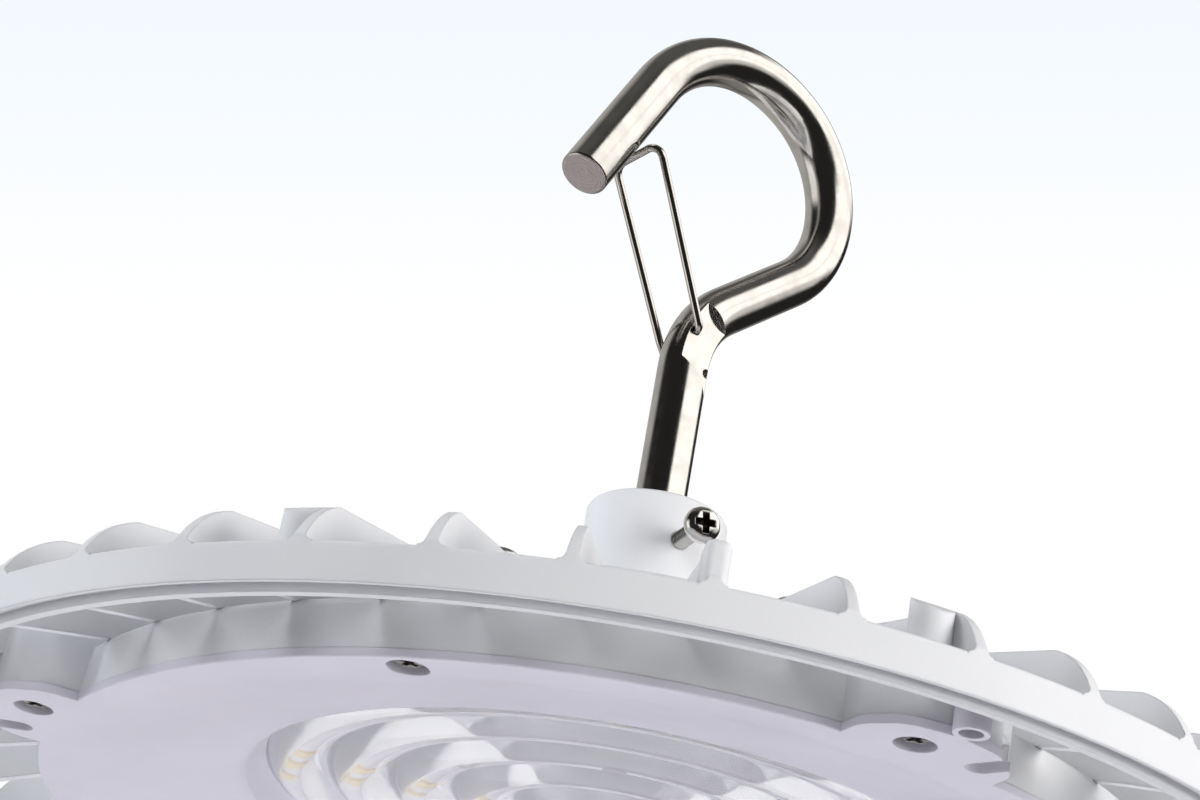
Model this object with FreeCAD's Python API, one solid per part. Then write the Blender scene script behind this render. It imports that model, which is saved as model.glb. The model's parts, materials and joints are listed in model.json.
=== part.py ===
"""High bay light: a die-cast round LED lamp that hangs from a hook with a sprung wire gate.

The origin is the centre of the rim's bottom face, +Z is up towards the hook, and the light
shines down. Angles of places round the lamp are counted from -Y towards +X. Millimetres.
"""
import FreeCAD, Part
import math
import os

os.makedirs("parts", exist_ok=True)
Vector = FreeCAD.Vector
UP = Vector(0, 0, 1)
CENTRE = Vector(0, 0, 0)
FULL_TURN = 360.0

# ---- rim ring -----------------------------------------------------------------------------
rim_radius = 150.0
rim_height = 8.2
rim_edge_round = 0.8
rim_wall = 6.4
band_bottom_height = 0.7
band_edge_width = 0.8
lip_setback = 3.3
lip_width = 1.8
groove_top_height = 1.9

# ---- fins ---------------------------------------------------------------------------------
fin_count = 40
fin_start_angle = 4.15
fin_root_thickness = 2.4
fin_ridge_thickness = 1.5
fin_nose_height = 9.2
fin_nose_bulge = 1.3
fin_peak_setback = 10.5
fin_peak_height = 18.8
fin_inner_height = 34.4
fin_foot_flare = 1.3
fin_underside_height = 12.0
fin_root_overlap = 1.5

# ---- cast pillars beside some fins --------------------------------------------------------
pillar_radius = 3.9
pillar_setback = 9.4
pillar_angle_from_fin = 2.05
pillar_count = 8
pillar_first_fin = 2
tether_boss_width = 4.6
tether_boss_depth = 5.5
tether_boss_height = 16.6
tether_boss_round = 1.6

# ---- central body -------------------------------------------------------------------------
seat_height = 5.5
body_shoulder_height = 12.2
body_shoulder_round = 2.0
body_draft = 0.6
roof_height = 27.0
deck_height = 24.4
deck_thickness = 4.0
pocket_radius = 73.5
land_width = 7.5
land_height = 17.5
flange_width = 14.0
flange_recess_height = 10.5

# ---- driver chamber -----------------------------------------------------------------------
chamber_radius = 62.0
chamber_wall = 7.0
chamber_height = 40.5
driver_gasket_thickness = 1.0

# ---- driver cover and neck ----------------------------------------------------------------
cover_flange_thickness = 2.6
cover_wall = 3.0
cover_flange_width = 7.5
dome_top_radius = 30.0
dome_top_height = 54.6
neck_radius = 15.5
neck_height = 82.0
neck_edge_round = 1.6
neck_foot_round = 4.0
neck_floor_height = 54.0
cover_screw_count = 6
cover_screw_inset = 3.5
cover_screw_start = 30.0

# ---- hook ---------------------------------------------------------------------------------
rod_diameter = 11.3
rod_clearance = 0.1
hook_turn = 38.0
hook_bottom_height = 56.0
kink_height = 118.1
kink_radius = 24.4
kink_slope = 41.0
throat_run = 24.5
lower_loop_radius = 26.2
lower_loop_turn = 112.0
upper_loop_radius = 31.5
tip_slope = 63.3
tip_run = 35.2
tip_edge_round = 0.7
flat_thickness = 8.0
flat_upper_turn = 33.8
flat_upper_slant = 7.7
flat_near_height = 115.4
flat_near_slope = 41.0
flat_far_height = 111.5
gate_hole_diameter = 2.2
pivot_hole_s = -1.1
pivot_hole_z = 126.3
lower_hole_s = 3.7
lower_hole_z = 117.5

# ---- wire gate of the hook ----------------------------------------------------------------
wire_diameter = 1.8
gate_gap = 0.3
gate_seat_from_tip = 16.9
gate_half_width = 6.6
gate_skew = 1.4
gate_corner_radius = 3.0
gate_foot_radius = 1.4
gate_foot_depth = 3.0
gate_far_knee_rise = 8.0
gate_far_knee_shift = 3.7

# ---- locking screw of the hook ------------------------------------------------------------
lock_screw_angle = 21.0
lock_screw_height = 71.2
lock_screw_length = 20.0
lock_seat_depth = 0.3

# ---- lens cover ---------------------------------------------------------------------------
lens_cover_radius = 117.2
lens_cover_lift = 0.5
lens_cover_edge_round = 0.5
lens_plate_thickness = 1.8
lens_rim_width = 7.2
skirt_thickness = 0.9
skirt_clearance = 0.1
dish_inner_radius = 76.0
dish_depth = 6.8
lens_window_radius = 72.2
lens_seat_height = 14.2
lens_ledge_width = 6.6
ear_count = 4
ear_start_angle = 23.3
ear_screw_shift = 1.1
ear_overhang = 14.4
ear_plain_width = 12.0
ear_loop_width = 20.2
ear_corner_round = 7.0
ear_slot_width = 5.0
ear_slot_length = 6.0
ear_slot_overhang = 6.6
ear_slot_offset = 5.2
ear_slot_turn = 24.0
eyelet_radius = 3.3
eyelet_overhang = 17.3
eyelet_offset = 3.3
eyelet_height = 9.0
eyelet_hole_diameter = 4.4
eyelet_hole_depth = 7.5

# ---- lens cover screws --------------------------------------------------------------------
ear_screw_overhang = 4.8
plain_screw_inset = 4.8
plain_screw_start_angle = -20.1
lens_screw_sink = 3.6
lens_screw_length = 7.5
lens_screw_head_diameter = 7.0
lens_screw_head_height = 2.6
lens_boss_wall = 1.3

# ---- M4 pan head screws, used in several places -------------------------------------------
m4_diameter = 4.0
m4_head_diameter = 8.0
m4_head_height = 3.1
m4_cross_width = 1.2
m4_cross_length = 4.4
m4_cross_depth = 1.9
screw_head_clearance = 0.4
cover_screw_length = 12.0
driver_screw_length = 5.0
earth_screw_length = 5.5

# ---- clear lens ---------------------------------------------------------------------------
lens_radius = 78.4
lens_thickness = 2.5
lens_window_clearance = 0.3
ridge_pitch = 13.2
ridge_first_radius = 6.7
ridge_count = 5
ridge_height = 3.4
ridge_valley_drop = 0.6

# ---- LED board and what is fixed to it ----------------------------------------------------
board_radius = 71.5
board_thickness = 1.6
pad_thickness = 0.5
board_hole_diameter = 6.0
chip_length = 3.5
chip_width = 2.8
chip_height = 0.7
chip_gap = 8.8
board_screw_count = 6
board_screw_radius = 33.1
board_screw_diameter = 3.0
board_screw_head_diameter = 5.6
board_screw_head_height = 1.2
board_screw_length = 5.5
connector_length = 12.0
connector_width = 7.0
connector_height = 1.2

# ---- leads from the driver to the board ---------------------------------------------------
grommet_radius = 4.0
grommet_flange_radius = 5.6
grommet_flange_height = 1.2
lead_diameter = 1.6
lead_spacing = 3.2

# ---- driver -------------------------------------------------------------------------------
driver_radius = 45.0
driver_height = 15.5
driver_edge_round = 2.0
driver_ear_count = 3
driver_ear_radius = 50.0
driver_ear_width = 9.0
driver_ear_thickness = 2.0
driver_recess_radius = 8.0
driver_recess_height = 3.0
driver_start_angle = 60.0
terminal_length = 26.0
terminal_width = 13.0
terminal_height = 8.0
terminal_offset = 22.0
terminal_pole_count = 3
terminal_pole_diameter = 4.0
terminal_pole_depth = 1.5
earth_screw_radius = 50.0
earth_screw_angle = 0.0

# ---- cable gland and breather on the far side of the cover --------------------------------
gland_distance = 40.0
gland_thread_diameter = 16.0
gland_pad_radius = 13.0
gland_pad_height = 55.0
gland_flats = 22.0
gland_hex_height = 6.0
gland_collar_height = 7.0
gland_nut_diameter = 21.0
gland_nut_height = 12.0
gland_nut_round = 3.0
gland_thread_length = 7.5
gland_bore = 9.0
seal_bore = 7.5
breather_angle = 125.0
breather_distance = 42.0
breather_pad_radius = 10.0
breather_pad_height = 53.5
breather_head_diameter = 17.0
breather_head_height = 6.0
breather_stem_diameter = 12.0
breather_stem_length = 8.0
breather_slot_count = 6
breather_slot_width = 2.0
breather_slot_depth = 1.6

# ---- lens gasket and lens seal ------------------------------------------------------------
gasket_margin = 2.8
gasket_width = 3.0
gasket_height = 2.0

# ---- places worked out from the sizes above -----------------------------------------------
lip_outer_radius = rim_radius - lip_setback
lip_inner_radius = lip_outer_radius - lip_width
rim_inner_radius = rim_radius - rim_wall
fin_pitch = 360.0 / fin_count
fin_peak_radius = rim_radius - fin_peak_setback
rod_radius = rod_diameter / 2
wire_radius = wire_diameter / 2
body_radius = lens_cover_radius - 0.2
lens_flange_radius = body_radius - skirt_thickness - skirt_clearance
lens_plate_top = lens_cover_lift + lens_plate_thickness
dish_outer_radius = lens_cover_radius - lens_rim_width
ear_screw_radius = lens_cover_radius + ear_screw_overhang
plain_screw_radius = lens_cover_radius - plain_screw_inset
ear_reach = lens_cover_radius + ear_overhang
ear_slot_radius = lens_cover_radius + ear_slot_overhang
eyelet_circle_radius = lens_cover_radius + eyelet_overhang
pocket_height = deck_height - deck_thickness
chamber_inner_radius = chamber_radius - chamber_wall
cover_seat_height = chamber_height + driver_gasket_thickness
cover_top_height = cover_seat_height + cover_flange_thickness
cover_screw_radius = chamber_radius - cover_screw_inset
lens_top_height = lens_seat_height + lens_thickness
board_top_height = pocket_height - pad_thickness
board_bottom_height = board_top_height - board_thickness
flange_inner_radius = lens_cover_radius - flange_width
gasket_radius = flange_inner_radius + gasket_margin
lens_screw_mouth = lens_screw_head_diameter / 2 + screw_head_clearance
lens_boss_radius = lens_screw_mouth + lens_boss_wall
pillar_place_radius = rim_radius - pillar_setback
lens_screw_seat = lens_cover_lift + lens_screw_sink
dome_floor_height = dome_top_height - cover_wall


# ---- helpers ------------------------------------------------------------------------------
def polar(radius, angle, height=0.0):
    """A point at a radius and an angle counted from -Y towards +X."""
    turn = math.radians(angle)
    return Vector(radius * math.sin(turn), -radius * math.cos(turn), height)


def outline(start, *steps):
    """Edges of a closed outline in the r-z plane.

    A step is a corner (r, z), or a pair ((r, z) on the arc, (r, z) at its end).
    """
    here = Vector(start[0], 0, start[1])
    first = here
    edges = []
    for step in steps:
        if isinstance(step[0], tuple):
            through = Vector(step[0][0], 0, step[0][1])
            there = Vector(step[1][0], 0, step[1][1])
            edges.append(Part.Arc(here, through, there).toShape())
        else:
            there = Vector(step[0], 0, step[1])
            edges.append(Part.makeLine(here, there))
        here = there
    if (here - first).Length > 1e-6:
        edges.append(Part.makeLine(here, first))
    return edges


def turned(start, *steps, sweep=360.0):
    """A solid of revolution about Z from an outline in the r-z plane."""
    face = Part.Face(Part.Wire(outline(start, *steps)))
    return face.revolve(CENTRE, UP, sweep)


def corner_arc(corner, before, after, radius):
    """The arc step that rounds a corner of an outline, as (on the arc, end), and its start."""
    to_before = Vector(before[0] - corner[0], 0, before[1] - corner[1]).normalize()
    to_after = Vector(after[0] - corner[0], 0, after[1] - corner[1]).normalize()
    half = to_before.getAngle(to_after) / 2
    back = radius / math.tan(half)
    middle = (to_before + to_after).normalize() * (radius / math.sin(half) - radius)
    at = Vector(corner[0], 0, corner[1])
    start = at + to_before * back
    end = at + to_after * back
    through = at + middle
    return (start.x, start.z), ((through.x, through.z), (end.x, end.z))


def bulged(start, end, bulge):
    """The arc step from one (r, z) to another that stands out from its chord, to the right of it."""
    run = end[0] - start[0]
    rise = end[1] - start[1]
    length = math.hypot(run, rise)
    through = ((start[0] + end[0]) / 2 + bulge * rise / length, (start[1] + end[1]) / 2 - bulge * run / length)
    return through, end


def cylinder(radius, height, base=CENTRE, axis=UP):
    return Part.makeCylinder(radius, height, base, axis)


def ring(outer, inner, bottom, top):
    return turned((inner, bottom), (outer, bottom), (outer, top), (inner, top))


def around(shape, angle):
    """A copy of a shape turned about the lamp's axis, from the place at angle 0 (-Y)."""
    copy = shape.copy()
    copy.rotate(CENTRE, UP, angle)
    return copy


def round_edges(shape, radius, wanted):
    edges = [edge for edge in shape.Edges if wanted(edge)]
    return shape.makeFillet(radius, edges)


def circle_edge_at(radius, height):
    """A test for the circular edges that lie at a height with a radius."""
    def wanted(edge):
        curve = edge.Curve
        if not isinstance(curve, Part.Circle):
            return False
        return abs(curve.Radius - radius) < 1e-4 and abs(curve.Center.z - height) < 1e-4
    return wanted


def rounded_path(points, radii):
    """A wire of straight runs joined by tangent arcs, with one radius for each inner point."""
    edges = []
    here = points[0]
    for before, corner, after, radius in zip(points, points[1:], points[2:], radii):
        to_before = (before - corner).normalize()
        to_after = (after - corner).normalize()
        half = to_before.getAngle(to_after) / 2
        back = radius / math.tan(half)
        start = corner + to_before * back
        end = corner + to_after * back
        inwards = (to_before + to_after).normalize()
        middle = corner + inwards * (radius / math.sin(half) - radius)
        edges.append(Part.makeLine(here, start))
        edges.append(Part.Arc(start, middle, end).toShape())
        here = end
    edges.append(Part.makeLine(here, points[-1]))
    return Part.Wire(edges)


def round_bar(path, diameter):
    """A round bar swept along a wire."""
    start = path.Edges[0]
    point = start.valueAt(start.FirstParameter)
    direction = start.tangentAt(start.FirstParameter)
    section = Part.Wire(Part.makeCircle(diameter / 2, point, direction))
    return path.makePipeShell([section], True, True)


def export(name, shape):
    shape.exportStep("parts/" + name + ".step")


# ---- screws -------------------------------------------------------------------------------
def pan_screw(length, diameter=m4_diameter, head=m4_head_diameter, head_height=m4_head_height, cross=True):
    """A pan head screw on Z: its head's seat at z = 0, the head above and the thread below."""
    crown = head / 2
    shoulder = head_height * 0.45
    body = turned((0, -length), (diameter / 2 - 0.4, -length), (diameter / 2, -length + 0.4),
                  (diameter / 2, 0), (crown, 0), (crown, shoulder),
                  ((crown * 0.86, head_height * 0.86), (crown * 0.5, head_height)), (0, head_height))
    if cross:
        for turn in (0, 90):
            slot = Part.makeBox(m4_cross_length, m4_cross_width, m4_cross_depth,
                                Vector(-m4_cross_length / 2, -m4_cross_width / 2, head_height - m4_cross_depth))
            body = body.cut(around(slot, turn))
    return body


def place_screw(screw, seat, direction, turn=0.0):
    """Turn a screw so that its head points along a direction, with its seat at a point."""
    copy = screw.copy()
    copy.rotate(CENTRE, UP, turn)
    copy.Placement = FreeCAD.Placement(seat, FreeCAD.Rotation(UP, direction)).multiply(copy.Placement)
    return copy


# ---- places of repeated things ------------------------------------------------------------
def ear_side(number):
    """Ears come in mirrored pairs: the side, +1 or -1, that carries the slot."""
    return 1 if number % 2 == 0 else -1


def ear_places():
    """The angle and the slot's side of each ear, at its screw."""
    step = FULL_TURN / ear_count
    places = []
    for number in range(ear_count):
        side = ear_side(number)
        places.append((ear_start_angle + step * number + side * ear_screw_shift, side))
    return places


def plain_screw_angles():
    return [plain_screw_start_angle + FULL_TURN / ear_count * number for number in range(ear_count)]


def fin_angles():
    return [fin_start_angle + fin_pitch * number for number in range(fin_count)]


def pillar_angles():
    """Pillars stand beside fins at equal steps round the rim."""
    first = fin_start_angle + fin_pitch * pillar_first_fin - pillar_angle_from_fin
    return [first + FULL_TURN / pillar_count * number for number in range(pillar_count)]


def lens_screw_places():
    places = [(ear_screw_radius, angle) for angle, side in ear_places()]
    return places + [(plain_screw_radius, angle) for angle in plain_screw_angles()]


def cover_screw_angles():
    return [cover_screw_start + 360.0 / cover_screw_count * number for number in range(cover_screw_count)]


def driver_ear_angles():
    return [driver_start_angle + 360.0 / driver_ear_count * number for number in range(driver_ear_count)]


def board_screw_angles():
    return [360.0 / board_screw_count * number for number in range(board_screw_count)]


# ---- ears of the lens cover and of the body -----------------------------------------------
def ear_lobe(side, bottom, top, shrink=0.0):
    """The tab of an ear at angle 0, wider on its slot's side, with round outer corners."""
    inner = -(dish_outer_radius - 6.0)
    reach = -(ear_reach - shrink)
    plain = -side * (ear_plain_width - shrink)
    loop = side * (ear_loop_width - shrink)
    points = [Vector(plain, inner, bottom), Vector(plain, reach + 8.2, bottom), Vector(plain * 0.55, reach + 1.6, bottom),
              Vector(eyelet_offset * side, reach, bottom), Vector(loop * 0.62, reach + 2.0, bottom),
              Vector(loop, reach + 9.4, bottom), Vector(loop, inner, bottom)]
    tab = Part.Face(Part.makePolygon(points + points[:1])).extrude(Vector(0, 0, top - bottom))
    upright = [edge for edge in tab.Edges if abs(edge.tangentAt(edge.FirstParameter).z) > 0.99]
    outer = [edge for edge in upright if edge.Vertexes[0].Y < reach + 12.0]
    return tab.makeFillet(ear_corner_round - shrink, outer)


def ear_slot(side, bottom, top):
    """The slot that leaves a thin loop at one side of an ear."""
    half = ear_slot_length / 2
    bar = Part.makeBox(ear_slot_width, ear_slot_length, top - bottom, Vector(-ear_slot_width / 2, -half, bottom))
    for end in (-half, half):
        bar = bar.fuse(cylinder(ear_slot_width / 2, top - bottom, Vector(0, end, bottom)))
    bar = bar.removeSplitter()
    bar.rotate(CENTRE, UP, side * ear_slot_turn)
    bar.translate(Vector(side * (ear_loop_width - ear_slot_offset), -ear_slot_radius, 0))
    return bar


def lens_boss(radius, angle, bottom, top, grow=0.0):
    """The boss round a lens screw, and the tongue that joins it to the flange of the lens cover."""
    wide = lens_boss_radius + grow
    post = cylinder(wide, top - bottom, polar(radius, 0, bottom))
    if radius < lens_flange_radius:
        post = post.common(cylinder(lens_flange_radius + grow, top - bottom, Vector(0, 0, bottom)))
    else:
        inner = lens_flange_radius - wide
        tongue = Part.makeBox(wide * 2, radius - inner, top - bottom, Vector(-wide, -radius, bottom))
        post = post.fuse(tongue)
    return around(post, angle)


# ---- housing casting ----------------------------------------------------------------------
def rim_ring():
    """The rim: a band with an edge, a groove under it and a narrow lip that the lamp stands on."""
    shoulder_start, shoulder = corner_arc((rim_radius, rim_height), (rim_radius, band_bottom_height),
                                          (rim_inner_radius, rim_height), rim_edge_round)
    groove_outer_radius = rim_radius - band_edge_width
    return turned((lip_inner_radius, 0), (lip_outer_radius, 0), (lip_outer_radius, groove_top_height),
                  (groove_outer_radius, groove_top_height), (groove_outer_radius, band_bottom_height),
                  (rim_radius, band_bottom_height), shoulder_start, shoulder,
                  (rim_inner_radius, rim_height), (rim_inner_radius + 0.8, groove_top_height),
                  (lip_inner_radius, groove_top_height - 0.8))


def central_body():
    """The turned middle of the casting: skirt, flange, sloping roof, deck and driver chamber."""
    skirt_radius = lens_flange_radius + skirt_clearance
    top_edge = body_radius - body_draft
    shoulder_start, shoulder = corner_arc((top_edge, body_shoulder_height), (body_radius, lens_plate_top),
                                          (chamber_radius, roof_height), body_shoulder_round)
    return turned((skirt_radius, lens_plate_top), (body_radius, lens_plate_top), shoulder_start, shoulder,
                  (chamber_radius, roof_height),
                  (chamber_radius, chamber_height), (chamber_inner_radius, chamber_height),
                  (chamber_inner_radius, deck_height), (grommet_radius, deck_height),
                  (grommet_radius, pocket_height), (pocket_radius, pocket_height),
                  (pocket_radius, land_height), (pocket_radius + land_width, land_height),
                  (flange_inner_radius, flange_recess_height), (flange_inner_radius, seat_height),
                  (skirt_radius, seat_height))


def fin_envelope():
    """The space that one fin fills, as a narrow slice turned about the lamp's axis."""
    nose = (rim_radius, fin_nose_height)
    peak = (fin_peak_radius, fin_peak_height)
    inner_radius = chamber_radius - 1.0
    slice_angle = 0.8 * fin_pitch
    body = turned((rim_radius - 2.0, rim_height - 2.0), (rim_radius, rim_height - 2.0), nose,
                  bulged(nose, peak, fin_nose_bulge), (inner_radius, fin_inner_height),
                  (inner_radius, roof_height - fin_root_overlap), (body_radius - 6.0, fin_underside_height),
                  (body_radius - 1.0, fin_underside_height), (rim_inner_radius + 1.0, rim_height - 2.0),
                  sweep=slice_angle)
    body.rotate(CENTRE, UP, -90.0 - slice_angle / 2)
    return body


def fin():
    """One fin at angle 0: a drafted rib with a flared foot where it meets the rim."""
    low = rim_height - 3.0
    root = fin_root_thickness / 2
    ridge = fin_ridge_thickness / 2
    section = [Vector(-root, 0, low), Vector(root, 0, low), Vector(ridge, 0, fin_peak_height),
               Vector(ridge, 0, fin_inner_height), Vector(-ridge, 0, fin_inner_height),
               Vector(-ridge, 0, fin_peak_height)]
    rib = Part.Face(Part.makePolygon(section + section[:1])).extrude(Vector(0, -(rim_radius - chamber_radius + 3), 0))
    rib.translate(Vector(0, -(chamber_radius - 1.5), 0))
    return rib.fuse(fin_foot()).common(fin_envelope())


def fin_foot():
    """The concave flare on both sides of a fin's foot, on top of the rim."""
    root = fin_root_thickness / 2 - 0.1
    bottom = rim_height - 1.0
    flare = fin_foot_flare
    bend = flare * (1 - math.sqrt(0.5))
    edges = [Part.makeLine(Vector(-root - flare, 0, bottom), Vector(root + flare, 0, bottom)),
             Part.makeLine(Vector(root + flare, 0, bottom), Vector(root + flare, 0, rim_height)),
             Part.Arc(Vector(root + flare, 0, rim_height), Vector(root + bend, 0, rim_height + bend),
                      Vector(root, 0, rim_height + flare)).toShape(),
             Part.makeLine(Vector(root, 0, rim_height + flare), Vector(-root, 0, rim_height + flare)),
             Part.Arc(Vector(-root, 0, rim_height + flare), Vector(-root - bend, 0, rim_height + bend),
                      Vector(-root - flare, 0, rim_height)).toShape(),
             Part.makeLine(Vector(-root - flare, 0, rim_height), Vector(-root - flare, 0, bottom))]
    foot = Part.Face(Part.Wire(edges)).extrude(Vector(0, -(rim_wall + 2.0), 0))
    foot.translate(Vector(0, -rim_inner_radius, 0))
    return foot


def pillar(angle):
    """A cast pillar on the rim beside a fin, with its top trimmed to the outline of the fins."""
    bottom = rim_height - 1.5
    post = cylinder(pillar_radius, fin_inner_height - bottom, polar(pillar_place_radius, 0, bottom))
    return around(post.common(fin_envelope()), angle)


def tether_boss():
    """The thick outer end of the first fin, where a safety wire can be tied."""
    bottom = rim_height - 1.5
    block = Part.makeBox(tether_boss_width, tether_boss_depth, tether_boss_height - bottom,
                         Vector(-tether_boss_width / 2, -rim_radius + 0.3, bottom))
    upper = [edge for edge in block.Edges if edge.CenterOfMass.y < -rim_radius + 0.4
             and edge.CenterOfMass.z > bottom + 0.1 or edge.CenterOfMass.z > tether_boss_height - 0.1]
    return around(block.makeFillet(tether_boss_round, upper), fin_start_angle)


def housing():
    """The whole casting: rim, fins, pillars, central body and ear columns."""
    rib = fin()
    pieces = [around(rib, angle) for angle in fin_angles()]
    pieces += [pillar(angle) for angle in pillar_angles()]
    pieces.append(tether_boss())
    for angle, side in ear_places():
        pieces.append(around(ear_lobe(side, lens_plate_top, body_shoulder_height + 1.5, 0.4), angle))
    body = central_body().fuse(rim_ring()).fuse(pieces)
    return body.cut(housing_holes()).removeSplitter()


def housing_holes():
    """Threaded holes, the gasket groove and the clear space under the central body."""
    holes = []
    for radius, angle in lens_screw_places():
        holes.append(cylinder(m4_diameter / 2, lens_screw_length + 0.3, polar(radius, angle, lens_screw_seat)))
    holes.append(cylinder(lens_flange_radius + skirt_clearance, seat_height - lens_cover_lift,
                          Vector(0, 0, lens_cover_lift)))
    for radius, angle in lens_screw_places():
        holes.append(lens_boss(radius, angle, lens_plate_top, seat_height, skirt_clearance))
    for angle, side in ear_places():
        tube = cylinder(eyelet_radius + skirt_clearance, eyelet_height + skirt_clearance,
                        Vector(side * eyelet_offset, -eyelet_circle_radius, lens_cover_lift))
        holes.append(around(tube, angle))
        holes.append(around(ear_slot(side, lens_cover_lift, seat_height), angle))
    for angle in cover_screw_angles():
        depth = cover_screw_length
        holes.append(cylinder(m4_diameter / 2, depth, polar(cover_screw_radius, angle, cover_top_height - depth)))
    for angle in driver_ear_angles():
        bottom = deck_height + driver_ear_thickness - driver_screw_length
        holes.append(cylinder(m4_diameter / 2, driver_screw_length, polar(driver_ear_radius, angle, bottom)))
    holes.append(cylinder(m4_diameter / 2, earth_screw_length,
                          polar(earth_screw_radius, earth_screw_angle, deck_height + 2.0 - earth_screw_length)))
    for angle in board_screw_angles():
        holes.append(cylinder(board_screw_diameter / 2, board_screw_length,
                              polar(board_screw_radius, angle, board_bottom_height)))
    holes.append(ring(gasket_radius + gasket_width, gasket_radius, seat_height - 1.0, seat_height + gasket_height))
    return holes


# ---- cover of the driver chamber, with the neck -------------------------------------------
def driver_cover():
    """The dome with its hook neck and the pads for the gland and the breather."""
    flange_inner = chamber_radius - cover_flange_width
    foot_start, foot = corner_arc((neck_radius, dome_top_height), (dome_top_radius, dome_top_height),
                                  (neck_radius, neck_height), neck_foot_round)
    body = turned((0, cover_seat_height), (chamber_radius - 0.3, cover_seat_height),
                  (chamber_radius - 0.3, cover_top_height - 0.6), (chamber_radius - 0.9, cover_top_height),
                  (flange_inner, cover_top_height), (dome_top_radius, dome_top_height), foot_start, foot,
                  (neck_radius, neck_height), (0, neck_height))
    body = round_edges(body, neck_edge_round, circle_edge_at(neck_radius, neck_height))
    pads = [cylinder(gland_pad_radius, gland_pad_height - cover_seat_height,
                     polar(gland_distance, 180, cover_seat_height)),
            cylinder(breather_pad_radius, breather_pad_height - cover_seat_height,
                     polar(breather_distance, breather_angle, cover_seat_height))]
    cavity = turned((0, cover_seat_height), (flange_inner - 1.0, cover_seat_height),
                    (dome_top_radius, dome_floor_height), (0, dome_floor_height))
    holes = [cavity, cylinder(rod_radius + rod_clearance, neck_height, Vector(0, 0, neck_floor_height)),
             cylinder(gland_thread_diameter / 2, neck_height, polar(gland_distance, 180, cover_seat_height)),
             cylinder(breather_stem_diameter / 2, neck_height,
                      polar(breather_distance, breather_angle, cover_seat_height)), lock_screw_hole()]
    for angle in cover_screw_angles():
        holes.append(cylinder(m4_diameter / 2, 10, polar(cover_screw_radius, angle, cover_seat_height - 2)))
    return body.fuse(pads).cut(holes).removeSplitter()


def lock_screw_direction():
    return polar(1.0, lock_screw_angle)


def lock_screw_hole():
    return cylinder(m4_diameter / 2, neck_radius + 2, Vector(0, 0, lock_screw_height), lock_screw_direction())


def driver_gasket():
    band = ring(chamber_radius - 0.6, chamber_inner_radius, chamber_height, cover_seat_height)
    holes = [cylinder(m4_diameter / 2, 6, polar(cover_screw_radius, angle, chamber_height - 2))
             for angle in cover_screw_angles()]
    return band.cut(holes)


def driver_cover_screws():
    screw = pan_screw(cover_screw_length)
    return [place_screw(screw, polar(cover_screw_radius, angle, cover_top_height), UP, angle)
            for angle in cover_screw_angles()]


# ---- hook ---------------------------------------------------------------------------------
# The hook is drawn in the X-Z plane, with +Y on the far side of its plane, and is then turned about Z.
def turn_hook(shape):
    return around(shape, hook_turn)


def hook_stations():
    """Ends of the runs and arcs of the rod's centre line, as (start, middle, end) or (start, end)."""
    here = (0.0, hook_bottom_height)
    heading = 90.0
    stations = []

    def run(length):
        nonlocal here
        end = (here[0] + length * math.cos(math.radians(heading)), here[1] + length * math.sin(math.radians(heading)))
        stations.append((here, end))
        here = end

    def bend(radius, turn):
        nonlocal here, heading
        side = math.copysign(1.0, turn)
        centre = (here[0] - side * radius * math.sin(math.radians(heading)),
                  here[1] + side * radius * math.cos(math.radians(heading)))
        points = []
        for part in (0.5, 1.0):
            at = math.radians(heading + turn * part)
            points.append((centre[0] + side * radius * math.sin(at), centre[1] - side * radius * math.cos(at)))
        stations.append((here, points[0], points[1]))
        here = points[1]
        heading += turn

    run(kink_height - hook_bottom_height)
    bend(kink_radius, kink_slope - 90.0)
    run(throat_run)
    bend(lower_loop_radius, lower_loop_turn)
    bend(upper_loop_radius, 180.0 + tip_slope - kink_slope - lower_loop_turn)
    run(tip_run)
    return stations


def hook_path():
    edges = []
    for station in hook_stations():
        points = [Vector(x, 0, z) for x, z in station]
        if len(points) == 2:
            edges.append(Part.makeLine(points[0], points[1]))
        else:
            edges.append(Part.Arc(points[0], points[1], points[2]).toShape())
    return Part.Wire(edges)


def kink_point(turn):
    """A point of the rod's centre line in the kink."""
    at = math.radians(turn)
    return Vector(kink_radius * (1 - math.cos(at)), 0, kink_height + kink_radius * math.sin(at))


def sloping_line(point, slope):
    """The ends of a line across the rod, through a point and falling to the right by a slope."""
    at = math.radians(slope)
    half = Vector(rod_diameter * math.cos(at), 0, -rod_diameter * math.sin(at))
    return point - half, point + half


def pressed_flat(side):
    """What a press takes off one side of the rod at the kink: -1 is the near side, +1 the far side."""
    upper_left, upper_right = sloping_line(kink_point(flat_upper_turn), flat_upper_turn + flat_upper_slant)
    if side < 0:
        lower_left, lower_right = sloping_line(Vector(0, 0, flat_near_height), flat_near_slope)
    else:
        lower_left, lower_right = sloping_line(Vector(0, 0, flat_far_height), 0)
    corners = [lower_left, lower_right, upper_right, upper_left]
    waste = Part.Face(Part.makePolygon(corners + corners[:1])).extrude(Vector(0, side * rod_diameter, 0))
    waste.translate(Vector(0, side * flat_thickness / 2, 0))
    return waste


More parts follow.
